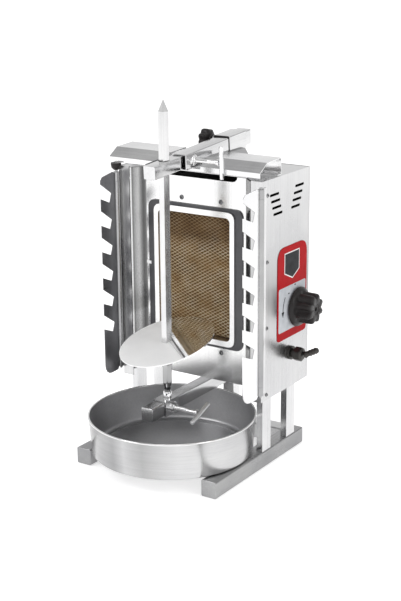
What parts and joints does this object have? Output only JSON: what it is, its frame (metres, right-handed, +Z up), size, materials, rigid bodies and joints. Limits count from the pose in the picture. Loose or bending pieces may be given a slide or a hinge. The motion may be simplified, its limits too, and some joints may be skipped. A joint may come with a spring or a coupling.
{
  "type": "vertical rotisserie broiler",
  "caption": "Counter-top vertical rotisserie broiler: gas burner in a recessed steel casing, upright spit held by telescopic arms, drip tray and swinging side shields.",
  "frame": {"origin": "on the floor under the middle of the object's bounding box", "axes": "+Z up along the spit, +X to the operator's right when facing the burner from the front, +Y from the front to the back"},
  "size_m": [0.37, 0.3948, 0.653],
  "materials": {
    "brushed_frame": "brushed",
    "polished_sheet": "polished",
    "bright_chrome": "mirror polished",
    "tray_steel": "satin",
    "dark_metal": "dark oxide",
    "black_plastic": "moulded",
    "brass_parts": "machined",
    "valve_casting": "cast",
    "burner_ceramic": "porous fired ceramic",
    "guard_wire": "heat tinted",
    "control_label": "printed, no wording"
  },
  "bodies": {
    "casing": {"skid_left": "brushed_frame", "skid_cap_left": "brushed_frame", "skid_right": "brushed_frame", "skid_cap_right": "brushed_frame", "rear_cross_tube": "brushed_frame", "post_front_left": "brushed_frame", "post_rear_left": "brushed_frame", "post_front_right": "brushed_frame", "post_rear_right": "brushed_frame", "centre_post": "brushed_frame", "back_cover": "brushed_frame", "bottom_plate": "brushed_frame", "burner_flange": "brushed_frame", "burner_box": "brushed_frame", "venturi_tube": "brushed_frame", "rear_sleeve": "brushed_frame", "rear_clamp_nut": "brushed_frame", "saddle_bracket": "brushed_frame", "hinge_left": "brushed_frame", "hinge_right": "brushed_frame", "lower_arm": "polished_sheet", "lower_arm_cap": "polished_sheet", "side_panel_left": "polished_sheet", "side_panel_right": "polished_sheet", "front_panel": "polished_sheet", "top_plate": "polished_sheet", "canopy": "polished_sheet", "burner_gasket": "dark_metal", "inlet_fitting": "dark_metal", "inlet_nut": "dark_metal", "hose_nozzle": "dark_metal", "hinge_knob_left": "black_plastic", "injector": "brass_parts", "gas_pipe": "brass_parts", "gas_valve": "valve_casting", "ceramic_tiles_left": "burner_ceramic", "ceramic_tiles_centre": "burner_ceramic", "ceramic_tiles_right": "burner_ceramic", "guard_mesh": "guard_wire", "label_plate": "control_label"},
    "middle_arm": {"middle_tube": "polished_sheet", "middle_tube_cap": "brushed_frame"},
    "upper_screw": {"upper_clamp_screw": "bright_chrome", "upper_t_bar": "bright_chrome"},
    "inner_arm": {"inner_tube": "polished_sheet", "inner_tube_cap": "polished_sheet", "spit_latch_wire": "dark_metal"},
    "rear_knob": {"rear_clamp_knob": "black_plastic"},
    "slider": {"lower_slider": "polished_sheet", "bearing_cup": "bright_chrome"},
    "lower_screw": {"lower_clamp_screw": "bright_chrome", "lower_t_bar": "bright_chrome"},
    "spit": {"spit": "polished_sheet"},
    "disc": {"meat_disc": "bright_chrome"},
    "valve_spindle": {"valve_stem": "brass_parts"},
    "gas_knob": {"control_knob": "black_plastic"},
    "tray": {"drip_tray": "tray_steel"},
    "left_shield": {"shield_left": "brushed_frame"},
    "right_shield": {"shield_right": "brushed_frame"}
  },
  "joints": [
    {"name": "slider_travel", "type": "slide", "parent": "casing", "child": "slider", "axis": [0, -1, 0], "range_m": [0, 0.034]},
    {"name": "inner_arm_travel", "type": "slide", "parent": "casing", "child": "inner_arm", "axis": [0, -0.998, -0.0628], "range_m": [0, 0.0345]},
    {"name": "middle_arm_travel", "type": "slide", "parent": "casing", "child": "middle_arm", "axis": [0, -0.998, -0.0628], "range_m": [0, 0.018]},
    {"name": "upper_screw_turn", "type": "hinge", "parent": "middle_arm", "child": "upper_screw", "pos_m": [0.02197, 0.00288, 0.54421], "axis": [1, 0, 0], "range_deg": [-60, 1]},
    {"name": "rear_knob_turn", "type": "hinge", "parent": "casing", "child": "rear_knob", "pos_m": [-0.05603, 0.13281, 0.55739], "axis": [1, 0, 0], "continuous": true},
    {"name": "lower_screw_turn", "type": "hinge", "parent": "slider", "child": "lower_screw", "pos_m": [0.02697, -0.06557, 0.1165], "axis": [1, 0, 0], "range_deg": [-40, 180]},
    {"name": "spit_spin", "type": "hinge", "parent": "slider", "child": "spit", "pos_m": [-0.01803, -0.06077, 0.14], "axis": [0, 0, 1], "continuous": true},
    {"name": "disc_travel", "type": "slide", "parent": "spit", "child": "disc", "axis": [0, 0, 1], "range_m": [-0.055, 0.24]},
    {"name": "spindle_push", "type": "slide", "parent": "casing", "child": "valve_spindle", "axis": [-1, 0, 0], "range_m": [0, 0.0012], "stiffness_N_per_m": 1500},
    {"name": "gas_knob_turn", "type": "hinge", "parent": "valve_spindle", "child": "gas_knob", "pos_m": [0.15197, 0.13393, 0.272], "axis": [1, 0, 0], "range_deg": [0, 210]},
    {"name": "tray_pull", "type": "slide", "parent": "casing", "child": "tray", "axis": [0, -1, 0], "range_m": [0, 0.26]},
    {"name": "left_shield_swing", "type": "hinge", "parent": "casing", "child": "left_shield", "pos_m": [-0.16773, 0.00473, 0.325], "axis": [0, 0, 1], "range_deg": [-110, 75]},
    {"name": "right_shield_swing", "type": "hinge", "parent": "casing", "child": "right_shield", "pos_m": [0.13167, 0.00473, 0.325], "axis": [0, 0, 1], "range_deg": [-75, 110]}
  ],
  "couplings": [
    {"joint": "inner_arm_travel", "follows": "slider_travel", "ratio": 1.002}
  ]
}
